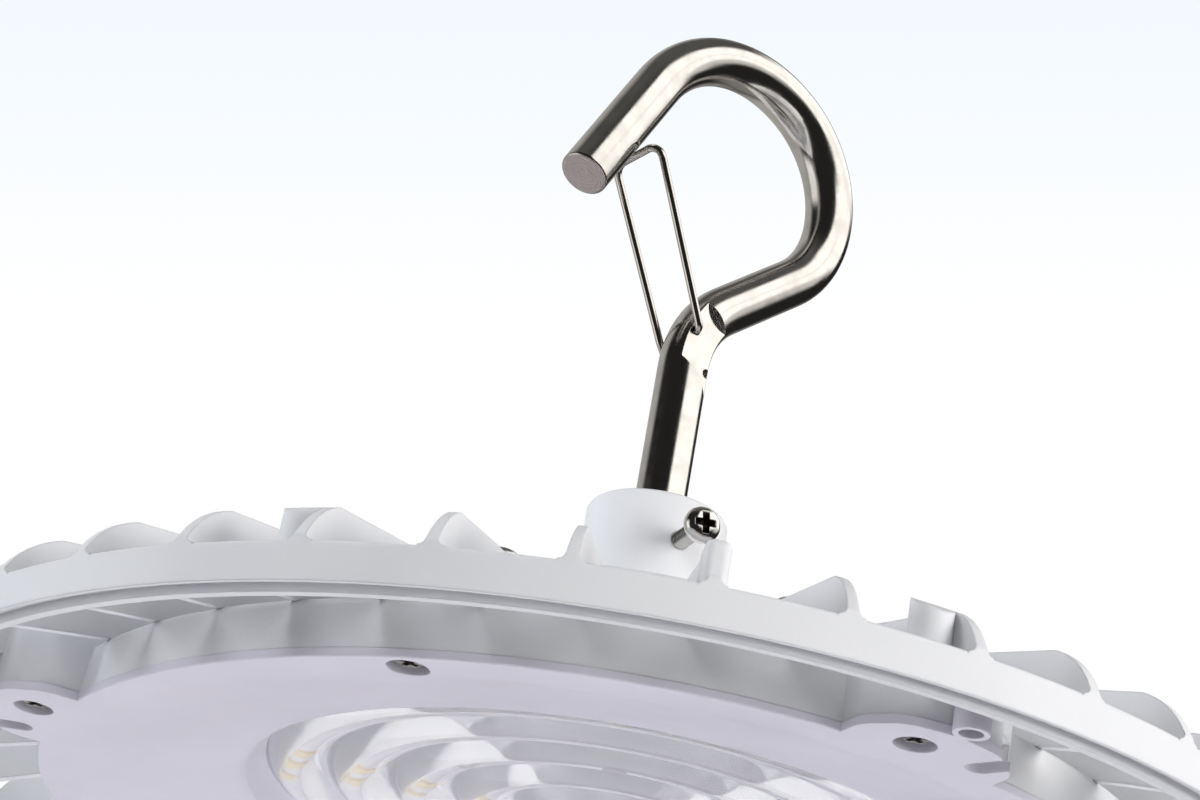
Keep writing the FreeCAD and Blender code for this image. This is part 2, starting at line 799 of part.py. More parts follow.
def hook():
    """The rod bent to its shape, pressed flat at the kink and drilled for the gate's feet."""
    rod = round_bar(hook_path(), rod_diameter)
    tip = hook_tip()
    rod = round_edges(rod, tip_edge_round, lambda edge: (edge.CenterOfMass - tip).Length < 1.0
                      and isinstance(edge.Curve, Part.Circle))
    body = rod.cut([pressed_flat(-1), pressed_flat(1)])
    for hole_s, hole_z in ((pivot_hole_s, pivot_hole_z), (lower_hole_s, lower_hole_z)):
        body = body.cut(cylinder(gate_hole_diameter / 2, rod_diameter * 2,
                                 Vector(hole_s, -rod_diameter, hole_z), Vector(0, 1, 0)))
    body = turn_hook(body)
    seat = Vector(0, 0, lock_screw_height) + lock_screw_direction() * (rod_radius - lock_seat_depth)
    return body.cut(cylinder(m4_diameter / 2 + 0.1, rod_diameter, seat, lock_screw_direction())).removeSplitter()


def hook_tip():
    last = hook_stations()[-1]
    return Vector(last[1][0], 0, last[1][1])


# ---- wire gate ----------------------------------------------------------------------------
def gate_wire():
    """One piece of spring wire: near foot, near leg, bar under the hook's tip, far leg, far foot."""
    slope = math.radians(tip_slope)
    along = Vector(math.cos(slope), 0, math.sin(slope))
    across = Vector(math.sin(slope), 0, -math.cos(slope))
    bar = hook_tip() + along * gate_seat_from_tip + across * (rod_radius + wire_radius + gate_gap)
    flat = flat_thickness / 2
    near = -(flat + wire_radius + gate_gap)
    pivot = Vector(pivot_hole_s, near, pivot_hole_z)
    near_corner = bar + along * gate_skew + Vector(0, -gate_half_width, 0)
    far_corner = bar - along * gate_skew + Vector(0, gate_half_width, 0)
    far_foot = Vector(lower_hole_s, gate_half_width, lower_hole_z)
    knee = far_foot + Vector(-gate_far_knee_rise * 0.5 - gate_far_knee_shift * 0.6, 0, gate_far_knee_rise)
    points = [pivot + Vector(0, gate_foot_depth - near - flat, 0), pivot, near_corner, far_corner, knee, far_foot,
              Vector(lower_hole_s, flat + gate_gap, lower_hole_z)]
    radii = [gate_foot_radius, gate_corner_radius, gate_corner_radius, gate_corner_radius * 3, gate_foot_radius]
    return turn_hook(round_bar(rounded_path(points, radii), wire_diameter))


def hook_lock_screw():
    screw = pan_screw(lock_screw_length)
    reach = rod_radius - lock_seat_depth + lock_screw_length
    seat = Vector(0, 0, lock_screw_height) + lock_screw_direction() * reach
    return place_screw(screw, seat, lock_screw_direction(), 8.0)


# ---- lens cover ---------------------------------------------------------------------------
def lens_cover():
    """The frame that holds the lens: a thin plate with ears, a flange, a shallow dish and a ledge for the lens."""
    front = lens_cover_lift
    edge_start, edge_arc = corner_arc((lens_cover_radius, front), (dish_outer_radius, front),
                                      (lens_cover_radius, lens_plate_top), lens_cover_edge_round)
    ledge = lens_window_radius + lens_ledge_width
    dish_end = front + dish_depth
    rim = turned((dish_outer_radius - 3.0, front + 0.5), ((dish_outer_radius - 0.5, front + 0.1),
                                                          (dish_outer_radius + 2.0, front)),
                 edge_start, edge_arc, (lens_cover_radius, lens_plate_top), (lens_flange_radius, lens_plate_top),
                 (lens_flange_radius, seat_height), (flange_inner_radius, seat_height),
                 (ledge + 2.5, lens_seat_height - 2.5), (ledge, lens_seat_height),
                 (lens_window_radius, lens_seat_height), (lens_window_radius, lens_seat_height - 1.2),
                 (dish_inner_radius - 0.6, dish_end + 0.8), ((dish_inner_radius + 0.4, dish_end - 0.1),
                                                             (dish_inner_radius + 2.0, dish_end - 0.6)))
    additions = [around(ear_plate(side), angle) for angle, side in ear_places()]
    additions += [lens_boss(radius, angle, front + 0.5, seat_height) for radius, angle in lens_screw_places()]
    body = rim.fuse(additions).removeSplitter()
    cuts = []
    for radius, angle in lens_screw_places():
        cuts.append(cylinder(m4_diameter / 2 + 0.2, 20, polar(radius, angle, front - 1)))
        cuts.append(cylinder(lens_screw_mouth, lens_screw_sink + 5, polar(radius, angle, front - 5)))
    for angle, side in ear_places():
        cuts.append(around(ear_slot(side, front - 1, seat_height + 1), angle))
        hole = cylinder(eyelet_hole_diameter / 2, eyelet_hole_depth + 1,
                        Vector(side * eyelet_offset, -eyelet_circle_radius, front - 1))
        cuts.append(around(hole, angle))
    return body.cut(cuts).removeSplitter()


def ear_plate(side):
    """An ear of the lens cover at angle 0: a thin tab with a small tube at its outer end."""
    lobe = ear_lobe(side, lens_cover_lift, lens_plate_top)
    lobe = lobe.cut(cylinder(dish_outer_radius + 3.0, 40, Vector(0, 0, -20)))
    tube = cylinder(eyelet_radius, eyelet_height, Vector(side * eyelet_offset, -eyelet_circle_radius, lens_cover_lift))
    return lobe.fuse(tube)


def lens_screws():
    screw = pan_screw(lens_screw_length, m4_diameter, lens_screw_head_diameter, lens_screw_head_height)
    screws = []
    for radius, angle in lens_screw_places():
        seat = polar(radius, angle, lens_screw_seat)
        screws.append(place_screw(screw, seat, Vector(0, 0, -1), angle * 1.7))
    return screws


def ring_lens():
    """The clear lens: a flat plate whose underside carries concentric ring ridges."""
    valley = lens_seat_height - ridge_valley_drop
    crest = valley - ridge_height
    outer = lens_window_radius - lens_window_clearance
    steps = [(ridge_first_radius - 2.0, valley), (ridge_first_radius, valley)]
    for number in range(ridge_count):
        inner_edge = ridge_first_radius + ridge_pitch * number
        outer_edge = min(inner_edge + ridge_pitch, outer)
        steps.append((((inner_edge + outer_edge) / 2, crest), (outer_edge, valley)))
    steps += [(outer, lens_seat_height), (lens_radius, lens_seat_height), (lens_radius, lens_top_height),
              (0, lens_top_height)]
    return turned((0, valley - 0.8), *steps)


def lens_seal():
    return ring(lens_radius, pocket_radius + 0.5, lens_top_height, land_height)


def lens_gasket():
    return ring(gasket_radius + gasket_width - 0.1, gasket_radius + 0.1, seat_height, seat_height + gasket_height)


# ---- light board --------------------------------------------------------------------------
def chip_ring_radius(number):
    return ridge_first_radius + ridge_pitch * (number + 0.5)


def chip_ring_count(number):
    return int(2 * math.pi * chip_ring_radius(number) / chip_gap)


def led_chips():
    chips = []
    for number in range(ridge_count):
        radius = chip_ring_radius(number)
        count = chip_ring_count(number)
        for place in range(count):
            chip = Part.makeBox(chip_length, chip_width, chip_height,
                                Vector(-chip_length / 2, -radius - chip_width / 2, board_bottom_height - chip_height))
            chips.append(around(chip, 360.0 / count * place))
    return chips


def led_board():
    board = ring(board_radius, board_hole_diameter / 2, board_bottom_height, board_top_height)
    return board.cut(board_screw_shanks())


def board_screw_shanks():
    return [cylinder(board_screw_diameter / 2, board_screw_length,
                     polar(board_screw_radius, angle, board_bottom_height)) for angle in board_screw_angles()]


def thermal_pad():
    return ring(board_radius - 0.5, grommet_radius + 0.5, board_top_height, pocket_height).cut(board_screw_shanks())


def board_screws():
    screw = pan_screw(board_screw_length, board_screw_diameter, board_screw_head_diameter,
                      board_screw_head_height, cross=False)
    return [place_screw(screw, polar(board_screw_radius, angle, board_bottom_height), Vector(0, 0, -1))
            for angle in board_screw_angles()]


def board_connector():
    block = Part.makeBox(connector_length, connector_width, connector_height,
                         Vector(-connector_length / 2, -connector_width / 2, board_bottom_height - connector_height))
    return round_edges(block, 0.3, lambda edge: abs(edge.CenterOfMass.z - block.BoundBox.ZMin) < 1e-6)


def lead_places():
    return [Vector(side * lead_spacing / 2, 0, board_bottom_height) for side in (-1, 1)]


def led_leads():
    """Two leads from the driver's underside down to the connector on the board."""
    length = deck_height + driver_recess_height - board_bottom_height
    return [cylinder(lead_diameter / 2, length, place) for place in lead_places()]


def lead_grommet():
    body = turned((0, pocket_height), (grommet_radius, pocket_height), (grommet_radius, deck_height),
                  (grommet_flange_radius, deck_height), (grommet_flange_radius, deck_height + grommet_flange_height),
                  (0, deck_height + grommet_flange_height))
    return body.cut([cylinder(lead_diameter / 2, 40, place) for place in lead_places()])


# ---- driver -------------------------------------------------------------------------------
def driver_module():
    """The potted driver: a round can with three fixing ears and a recess for its leads."""
    can = cylinder(driver_radius, driver_height, Vector(0, 0, deck_height))
    can = round_edges(can, driver_edge_round, circle_edge_at(driver_radius, deck_height + driver_height))
    half = driver_ear_width / 2
    for angle in driver_ear_angles():
        tab = Part.makeBox(driver_ear_width, driver_ear_radius - driver_radius + 10, driver_ear_thickness,
                           Vector(-half, -driver_ear_radius, deck_height))
        tab = tab.fuse(cylinder(half, driver_ear_thickness, Vector(0, -driver_ear_radius, deck_height)))
        can = can.fuse(around(tab, angle))
    holes = [cylinder(m4_diameter / 2, 10, polar(driver_ear_radius, angle, deck_height - 1))
             for angle in driver_ear_angles()]
    holes.append(cylinder(driver_recess_radius, driver_recess_height + 1, Vector(0, 0, deck_height - 1)))
    return can.cut(holes).removeSplitter()


def driver_screws():
    screw = pan_screw(driver_screw_length)
    return [place_screw(screw, polar(driver_ear_radius, angle, deck_height + driver_ear_thickness), UP)
            for angle in driver_ear_angles()]


def terminal_block():
    bottom = deck_height + driver_height
    block = Part.makeBox(terminal_length, terminal_width, terminal_height,
                         Vector(-terminal_length / 2, terminal_offset - terminal_width / 2, bottom))
    pitch = terminal_length / terminal_pole_count
    wells = []
    for pole in range(terminal_pole_count):
        x = (pole + 0.5) * pitch - terminal_length / 2
        wells.append(cylinder(terminal_pole_diameter / 2, terminal_pole_depth + 1,
                              Vector(x, terminal_offset, bottom + terminal_height - terminal_pole_depth)))
    return block.cut(wells)


def earth_screw():
    """The earthing screw, which stands on its cast spot with two millimetres of thread showing."""
    screw = pan_screw(earth_screw_length)
    return place_screw(screw, polar(earth_screw_radius, earth_screw_angle, deck_height + 2.0), UP)


# ---- cable gland and breather -------------------------------------------------------------
def hexagon(flats, height, base):
    corner = flats / math.sqrt(3)
    points = [base + polar(corner, 60.0 * number) for number in range(7)]
    return Part.Face(Part.makePolygon(points)).extrude(Vector(0, 0, height))


def gland_axis(height):
    return polar(gland_distance, 180, height)


def gland_body():
    """The gland's body: thread into the cover, hexagon and the collar that the nut screws on."""
    hex_top = gland_pad_height + gland_hex_height
    body = hexagon(gland_flats, gland_hex_height, gland_axis(gland_pad_height))
    body = body.fuse(cylinder(gland_thread_diameter / 2, gland_thread_length,
                              gland_axis(gland_pad_height - gland_thread_length)))
    body = body.fuse(cylinder(gland_thread_diameter / 2, gland_collar_height, gland_axis(hex_top)))
    body = body.cut(cylinder(gland_bore / 2, 40, gland_axis(gland_pad_height - 20)))
    seal_seat = cylinder(gland_thread_diameter / 2 - 1.5, gland_collar_height, gland_axis(hex_top + 2.0))
    return body.cut(seal_seat).removeSplitter()


def gland_nut():
    bottom = gland_pad_height + gland_hex_height + 0.5
    nut = cylinder(gland_nut_diameter / 2, gland_nut_height, gland_axis(bottom))
    nut = nut.common(hexagon(gland_nut_diameter - 1.5, gland_nut_height, gland_axis(bottom)))
    dome = cylinder(gland_nut_diameter / 2, gland_nut_height, gland_axis(bottom))
    dome = round_edges(dome, gland_nut_round, circle_edge_at(gland_nut_diameter / 2, bottom + gland_nut_height))
    nut = nut.common(dome)
    thread = cylinder(gland_thread_diameter / 2, gland_collar_height - 0.5, gland_axis(bottom))
    return nut.cut([thread, cylinder(gland_bore / 2, 40, gland_axis(bottom - 5))])


def gland_seal():
    bottom = gland_pad_height + gland_hex_height + 2.0
    height = gland_collar_height - 2.0
    seal = cylinder(gland_thread_diameter / 2 - 1.5, height, gland_axis(bottom))
    return seal.cut(cylinder(seal_bore / 2, height + 2, gland_axis(bottom - 1)))


def breather_vent():
    """A screw-in breather: round cap with side slots over a stem through the cover."""
    place = polar(breather_distance, breather_angle, breather_pad_height)
    body = cylinder(breather_head_diameter / 2, breather_head_height)
    body = round_edges(body, 1.5, circle_edge_at(breather_head_diameter / 2, breather_head_height))
    for number in range(breather_slot_count):
        slot = Part.makeBox(breather_slot_width, breather_slot_depth * 2, 2.0,
                            Vector(-breather_slot_width / 2, -breather_head_diameter / 2 - breather_slot_depth, 1.2))
        body = body.cut(around(slot, 360.0 / breather_slot_count * number))
    body = body.fuse(cylinder(breather_stem_diameter / 2, breather_stem_length, Vector(0, 0, -breather_stem_length)))
    body.translate(place)
    return body.removeSplitter()


# ---- build --------------------------------------------------------------------------------
single_pieces = {
    "housing": housing, "driver_cover": driver_cover, "driver_gasket": driver_gasket, "hook": hook,
    "gate_wire": gate_wire, "hook_lock_screw": hook_lock_screw, "lens_cover": lens_cover,
    "ring_lens": ring_lens, "lens_seal": lens_seal, "lens_gasket": lens_gasket, "led_board": led_board,
    "thermal_pad": thermal_pad, "board_connector": board_connector, "lead_grommet": lead_grommet,
    "driver_module": driver_module, "terminal_block": terminal_block, "earth_screw": earth_screw,
    "gland_body": gland_body, "gland_nut": gland_nut, "gland_seal": gland_seal, "breather_vent": breather_vent,
}
grouped_pieces = {
    "lens_screws": lens_screws, "driver_cover_screws": driver_cover_screws, "board_screws": board_screws,
    "driver_screws": driver_screws, "led_chips": led_chips, "led_leads": led_leads,
}
for name, build in single_pieces.items():
    export(name, build())
for name, build in grouped_pieces.items():
    export(name, Part.makeCompound(build()))
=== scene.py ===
"""Looks for the high bay light: powder paint, polished steel, clear lens, and a lock screw with its thread.

Metres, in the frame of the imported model: the origin is the centre of the rim's bottom face, +Z up.
Noise scales are per metre, bump distances are metres and colours are linear.
"""
import json
import math

import bmesh
import bpy
from mathutils import Matrix, Vector


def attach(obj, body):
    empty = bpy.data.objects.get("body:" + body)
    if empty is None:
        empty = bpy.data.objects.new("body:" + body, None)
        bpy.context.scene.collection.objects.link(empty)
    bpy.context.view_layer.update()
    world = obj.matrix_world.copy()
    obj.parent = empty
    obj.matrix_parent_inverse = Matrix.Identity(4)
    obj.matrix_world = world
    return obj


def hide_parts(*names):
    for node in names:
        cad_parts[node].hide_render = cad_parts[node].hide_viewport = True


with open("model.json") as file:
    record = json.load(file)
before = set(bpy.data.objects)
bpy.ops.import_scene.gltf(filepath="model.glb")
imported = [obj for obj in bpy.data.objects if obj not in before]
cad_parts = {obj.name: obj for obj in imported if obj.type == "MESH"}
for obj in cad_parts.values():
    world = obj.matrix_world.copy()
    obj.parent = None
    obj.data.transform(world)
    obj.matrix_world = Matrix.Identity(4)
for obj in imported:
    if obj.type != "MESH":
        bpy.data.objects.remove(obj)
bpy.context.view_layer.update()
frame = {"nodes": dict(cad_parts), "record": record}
nodes = frame["nodes"]
scene = bpy.context.scene

# ---- hook and lock screw, placed as in the model -------------------------------------------------
UPWARD = Vector((0, 0, 1))
HOOK_TURN = math.radians(38.0)
TIP_DIRECTION = math.radians(243.3)
HOOK_SIDE = Vector((math.cos(HOOK_TURN), math.sin(HOOK_TURN), 0))
HOOK_NORMAL = Vector((-math.sin(HOOK_TURN), math.cos(HOOK_TURN), 0))
TIP_AXIS = HOOK_SIDE * math.cos(TIP_DIRECTION) + UPWARD * math.sin(TIP_DIRECTION)
OPEN_SIDE_START = -0.02
LOCK_ANGLE = math.radians(21.0)
LOCK_AXIS = Vector((math.sin(LOCK_ANGLE), -math.cos(LOCK_ANGLE), 0))
LOCK_HEIGHT = 0.0712
LOCK_SEAT_RADIUS = 0.02535
LOCK_SEAT = LOCK_AXIS * LOCK_SEAT_RADIUS + UPWARD * LOCK_HEIGHT

# ---- where the hook tip's end face and the painted shade in the lock screw's cross recess begin and end, as pairs of distances ---
TIP_BACK = (-0.00025, -0.00005)
TIP_FRONT = (0.0004, 0.0006)
TIP_EDGE = (0.0060, 0.0062)
TIP_RINGS = 9000.0
RECESS_BOTTOM = (0.0006, 0.0008)
RECESS_TOP = (0.0026, 0.0028)
RECESS_EDGE = (0.0027, 0.0028)
TIP_COLOUR = (0.58, 0.51, 0.50)
# painted shade: the dark colour put into the lock screw's cross recess
RECESS_PAINTED_SHADE = (0.075, 0.05, 0.035)
SPECK_COLOUR = (0.45, 0.45, 0.47)
PIT_COLOUR = (0.25, 0.22, 0.19)

# ---- lock screw: (radius, height) of its head, its thread and its cross --------------------------
LOCK_HEAD = ((0.0020, -0.0002), (0.0037, 0.0), (0.00395, 0.00025), (0.0040, 0.0009), (0.00392, 0.0016),
             (0.0036, 0.0023), (0.0030, 0.0028), (0.0021, 0.00305), (0.0010, 0.0031))
LOCK_HEAD_STEPS = 64
LOCK_HEAD_TURN = math.radians(8.0)
THREAD_RADIUS = 0.00199
THREAD_CORE = 0.00166
THREAD_PITCH = 0.0007
THREAD_START = -0.0199
THREAD_END = 0.0
THREAD_STEPS = 40
THREAD_ROWS_PER_PITCH = 12
THREAD_CREST = 1.15
THREAD_SLOPE = 1.4
# half length and half width of one arm, and its height above the seat
CROSS_LOW = (0.00125, 0.00046, 0.0010)
CROSS_TOP = (0.00262, 0.00086, 0.0033)
SMOOTH_ANGLE = math.radians(35.0)

# ---- sockets of the colour Mix node, which has the same names for its numbers --------------------
MIX_FIRST, MIX_SECOND, MIX_RESULT = 6, 7, 2

# ---- camera: a low view through a long lens, turned a little about its own axis ------------------
CAMERA_LENS = 90.0
CAMERA_SENSOR = 36.0
CAMERA_PLACE = (0.0, -0.6025658, -0.1747719)
CAMERA_RIGHT = Vector((0.98558242, -0.04822505, 0.16217781))
CAMERA_UP = Vector((-0.1672736, -0.42180538, 0.89112276))
CAMERA_FORWARD = Vector((-0.02543303, 0.90540299, 0.42379074))

# ---- light ---------------------------------------------------------------------------------------
FILL = 0.06
FILL_COLOUR = (0.95, 0.96, 1.0, 1.0)
SKY_WHITE = (1.0, 1.0, 1.0, 1.0)
SKY_TINT = (0.89, 0.945, 1.0, 1.0)
SKY_TINT_RANGE = (0.02, 0.145)
# what polished metal mirrors: ends round the light, ends above the horizon, softness in degrees, strength
PANELS = (((24.0, 150.0), (31.0, 58.0), 5.0, 1.6), ((24.0, 122.0), (15.0, 34.0), 5.0, 1.6),
          ((-97.0, -58.0), (-34.0, 14.0), 9.0, 1.1), ((66.0, 106.0), (4.0, 20.0), 6.0, 0.8),
          ((124.0, 180.0), (-60.0, -12.0), 12.0, 0.25), ((160.0, 180.0), (-12.0, 60.0), 12.0, 0.30),
          ((-180.0, -98.0), (-60.0, 60.0), 12.0, 0.48))
MIRROR_COLOUR = (1.0, 0.985, 0.96, 1.0)
MIRROR_DARK = 0.02
# (elevation where it starts, elevation where it is full, strength)
MIRROR_CAPS = ((-38.0, -60.0, 0.30), (45.0, 75.0, 0.09))

BODY_MIDDLE = (0, 0, 0.05)
NECK = (0, 0, 0.07)
WHITE = (1, 1, 1)
# name, direction from its aim, distance, width and height, watts, colour, aim
LAMPS = (
    ("left", (-1.0, 0.0, 0.09), 1.6, (0.9, 0.9), 17.0, (0.92, 0.95, 1.0), BODY_MIDDLE),
    ("front", (0.0, -1.0, 0.09), 1.6, (0.9, 0.9), 9.0, WHITE, BODY_MIDDLE),
    ("right", (0.866, -0.5, 0.09), 1.6, (0.9, 0.9), 26.0, (1.0, 0.99, 0.98), BODY_MIDDLE),
    ("back_right", (0.55, 0.80, 0.25), 1.6, (1.2, 0.9), 20.0, WHITE, BODY_MIDDLE),
    ("back_left", (-0.60, 0.78, 0.20), 1.6, (1.2, 0.9), 10.0, (0.96, 0.98, 1.0), BODY_MIDDLE),
    ("below", (0.0, 0.01, -1.0), 0.6, (0.45, 0.45), 1.45, (0.97, 0.94, 1.0), BODY_MIDDLE),
    ("above_left", (-0.66, -0.60, 0.69), 0.36, (0.15, 0.15), 0.55, (0.95, 0.97, 1.0), NECK),
)
FLOOR_SIZE = 1.5
FLOOR_HEIGHT = -0.62


# ---- node helpers --------------------------------------------------------------------------------
class Shader:
    """A material's node tree with short ways to add the nodes used here."""

    def __init__(self, name):
        self.material = bpy.data.materials.new(name)
        self.material.use_nodes = True
        self.tree = self.material.node_tree
        self.tree.nodes.clear()
        self.output = self.add("ShaderNodeOutputMaterial")
        self.surface = self.add("ShaderNodeBsdfPrincipled")
        self.link(self.surface.outputs[0], self.output.inputs["Surface"])
        self.place = self.add("ShaderNodeTexCoord").outputs["Object"]

    def add(self, kind, **values):
        node = self.tree.nodes.new(kind)
        for key, value in values.items():
            setattr(node, key, value)
        return node

    def link(self, source, target):
        self.tree.links.new(source, target)

    def put(self, node, name, value):
        if isinstance(value, bpy.types.NodeSocket):
            self.link(value, node.inputs[name])
        else:
            node.inputs[name].default_value = value

    def noise(self, scale, detail=2.0, roughness=0.5):
        node = self.add("ShaderNodeTexNoise")
        self.link(self.place, node.inputs["Vector"])
        self.put(node, "Scale", scale)
        self.put(node, "Detail", detail)
        self.put(node, "Roughness", roughness)
        return node.outputs[0]

    def ramp(self, value, low, high, start, end):
        """value from start to end mapped to low to high, held at both ends."""
        node = self.add("ShaderNodeMapRange", interpolation_type="SMOOTHSTEP")
        self.put(node, "Value", value)
        for name, number in (("From Min", start), ("From Max", end), ("To Min", low), ("To Max", high)):
            node.inputs[name].default_value = number
        return node.outputs[0]

    def mix(self, factor, first, second):
        node = self.add("ShaderNodeMix", data_type="RGBA")
        self.put(node, 0, factor)
        for index, colour in ((MIX_FIRST, first), (MIX_SECOND, second)):
            self.put(node, index, (*colour, 1.0) if isinstance(colour, tuple) else colour)
        return node.outputs[MIX_RESULT]

    def math(self, operation, first, second=0.0):
        node = self.add("ShaderNodeMath", operation=operation)
        self.put(node, 0, first)
        self.put(node, 1, second)
        return node.outputs[0]

    def along(self, direction, origin):
        """Distance of a point from a plane through origin across direction."""
        away = self.add("ShaderNodeVectorMath", operation="SUBTRACT")
        self.link(self.place, away.inputs[0])
        away.inputs[1].default_value = origin
        dot = self.add("ShaderNodeVectorMath", operation="DOT_PRODUCT")
        self.link(away.outputs[0], dot.inputs[0])
        dot.inputs[1].default_value = direction
        return dot.outputs["Value"]

    def from_line(self, first_way, second_way, origin):
        """Distance of a point from the line through origin that is square to both ways."""
        first = self.along(first_way, origin)
        second = self.along(second_way, origin)
        return self.math("SQRT", self.math("ADD", self.math("MULTIPLY", first, first),
                                           self.math("MULTIPLY", second, second)))

    def edges(self, radius):
        node = self.add("ShaderNodeBevel", samples=4)
        node.inputs["Radius"].default_value = radius
        return node.outputs[0]

    def bump(self, height, distance, strength, normal=None):
        node = self.add("ShaderNodeBump")
        self.put(node, "Height", height)
        node.inputs["Distance"].default_value = distance
        node.inputs["Strength"].default_value = strength
        if normal is not None:
            self.link(normal, node.inputs["Normal"])
        return node.outputs[0]

    def either(self, factor, first, second):
        """The first shader where factor is 0, the second where it is 1."""
        node = self.add("ShaderNodeMixShader")
        self.put(node, 0, factor)
        self.link(first, node.inputs[1])
        self.link(second, node.inputs[2])
        return node.outputs[0]

    def show(self, shader):
        self.link(shader, self.output.inputs["Surface"])

    def finish(self, normal=None, **values):
        for name, value in values.items():
            self.put(self.surface, name.replace("_", " "), value)
        if normal is not None:
            self.link(normal, self.surface.inputs["Normal"])
        return self.material


# ---- materials -----------------------------------------------------------------------------------
def powder_paint(name, colour, shade, edge=0.0006):
    """Fine powder coat: soft cloudy shade, orange-peel skin and small specks."""
    s = Shader(name)
    cloud = s.noise(28.0, 3.0)
    specks = s.noise(2600.0, 1.0)
    tone = s.mix(s.ramp(cloud, 0.0, 1.0, 0.3, 0.7), shade, colour)
    tone = s.mix(s.ramp(specks, 0.0, 0.10, 0.62, 0.78), tone, SPECK_COLOUR)
    normal = s.bump(s.noise(1400.0), 0.00005, 0.55, s.edges(edge))
    return s.finish(normal, Base_Color=tone, Roughness=s.ramp(s.noise(60.0), 0.34, 0.46, 0.3, 0.7),
                    Specular_IOR_Level=0.5)


def polished_steel(name, colour, low, high, grain):
    """Polished bar: mirror bands with a fine grain of drawing marks and tiny pits."""
    s = Shader(name)
    pits = s.noise(1700.0, 3.0, 0.6)
    smear = s.noise(220.0, 3.0)
    tone = s.mix(s.ramp(smear, 0.0, 1.0, 0.3, 0.75), colour, tuple(c * 0.86 for c in colour))
    tone = s.mix(s.ramp(pits, 0.0, 0.5, 0.66, 0.8), tone, PIT_COLOUR)
    normal = s.bump(pits, 0.00004, grain, s.edges(0.0002))
    return s, tone, s.ramp(smear, low, high, 0.3, 0.7), normal


def plain_steel(name, colour, low, high, grain=0.4):
    s, tone, rough, normal = polished_steel(name, colour, low, high, grain)
    return s.finish(normal, Base_Color=tone, Metallic=1.0, Roughness=rough)


def hook_steel():
    """The hook's bar, with the duller turned rings of its end face."""
    s, tone, rough, normal = polished_steel("hook_steel", (0.70, 0.67, 0.63), 0.11, 0.19, 0.25)
    tip = hook_tip()
    depth = s.along(TIP_AXIS, tip)
    radius = s.from_line(HOOK_NORMAL, TIP_AXIS.cross(HOOK_NORMAL), tip)
    near = s.math("MULTIPLY", s.ramp(radius, 1.0, 0.0, *TIP_EDGE), s.ramp(depth, 1.0, 0.0, *TIP_FRONT))
    face = s.math("MULTIPLY", s.ramp(depth, 0.0, 1.0, *TIP_BACK), near)
    rings = s.math("SINE", s.math("MULTIPLY", radius, TIP_RINGS))
    tone = s.mix(face, tone, TIP_COLOUR)
    rough = s.math("ADD", rough, s.math("MULTIPLY", face, 0.28))
    normal = s.bump(s.math("MULTIPLY", rings, face), 0.00004, 0.8, normal)
    return s.finish(normal, Base_Color=tone, Metallic=1.0, Roughness=rough)


def lock_screw_steel():
    """Bright plated steel, with shade painted dark into the cross recess."""
    s, tone, rough, normal = polished_steel("lock_screw_steel", (0.80, 0.78, 0.75), 0.08, 0.16, 0.1)
    height = s.along(LOCK_AXIS, LOCK_SEAT)
    radius = s.from_line(UPWARD, UPWARD.cross(LOCK_AXIS), LOCK_SEAT)
    # painted shade: the cross recess is coloured dark, and made rougher
    painted_shade_in_recess = s.math("MULTIPLY", s.ramp(height, 1.0, 0.0, *RECESS_TOP), s.ramp(radius, 1.0, 0.0, *RECESS_EDGE))
    painted_shade_in_recess = s.math("MULTIPLY", painted_shade_in_recess, s.ramp(height, 0.0, 1.0, *RECESS_BOTTOM))
    tone = s.mix(painted_shade_in_recess, tone, RECESS_PAINTED_SHADE)
    rough = s.math("ADD", rough, s.math("MULTIPLY", painted_shade_in_recess, 0.35))
    return s.finish(normal, Base_Color=tone, Metallic=1.0, Roughness=rough)


def hook_tip():
    """Centre of the hook's end face, which lies furthest along the tip on the hook's open side."""
    side = [v.co for v in nodes["hook"].data.vertices if v.co.dot(HOOK_SIDE) < OPEN_SIDE_START]
    far = max(point.dot(TIP_AXIS) for point in side)
    face = [point for point in side if point.dot(TIP_AXIS) > far - 1e-5]
    return sum(face, Vector()) / len(face)


def clear_plastic():
    """Clear moulded plastic with a little haze, which lets the lamps' light straight through."""
    s = Shader("clear_lens")
    haze = s.add("ShaderNodeBsdfDiffuse")
    haze.inputs[0].default_value = (0.90, 0.90, 0.95, 1.0)
    clear = s.add("ShaderNodeBsdfTransparent")
    clear.inputs[0].default_value = (0.93, 0.94, 0.96, 1.0)
    body = s.either(0.2, s.surface.outputs[0], haze.outputs[0])
    shadow = s.add("ShaderNodeLightPath").outputs["Is Shadow Ray"]
    s.show(s.either(shadow, body, clear.outputs[0]))
    normal = s.bump(s.noise(90.0), 0.0001, 0.15)
    return s.finish(normal, Base_Color=s.mix(s.noise(40.0), (0.985, 0.99, 1.0), (0.97, 0.98, 1.0)),
                    Roughness=s.ramp(s.noise(700.0), 0.02, 0.05, 0.4, 0.6), Transmission_Weight=1.0,
                    IOR=1.49)


def moulded(name, colour, rough, grain=0.4, scale=900.0, metallic=0.0):
    """Moulded plastic, rubber or board lacquer with a fine skin."""
    s = Shader(name)
    tone = s.mix(s.ramp(s.noise(60.0), 0.0, 1.0, 0.3, 0.7), colour, tuple(c * 0.9 for c in colour))
    normal = s.bump(s.noise(scale), 0.00005, grain, s.edges(0.0003))
    return s.finish(normal, Base_Color=tone, Metallic=metallic,
                    Roughness=s.ramp(s.noise(300.0), rough - 0.06, rough + 0.08, 0.3, 0.7))


def led_phosphor():
    """Yellow phosphor, a little different from chip to chip."""
    s = Shader("chip_yellow")
    island = s.add("ShaderNodeNewGeometry").outputs["Random Per Island"]
    tone = s.mix(island, (0.93, 0.66, 0.16), (0.98, 0.76, 0.30))
    return s.finish(s.bump(s.noise(2500.0), 0.00003, 0.4), Base_Color=tone, Roughness=0.4)


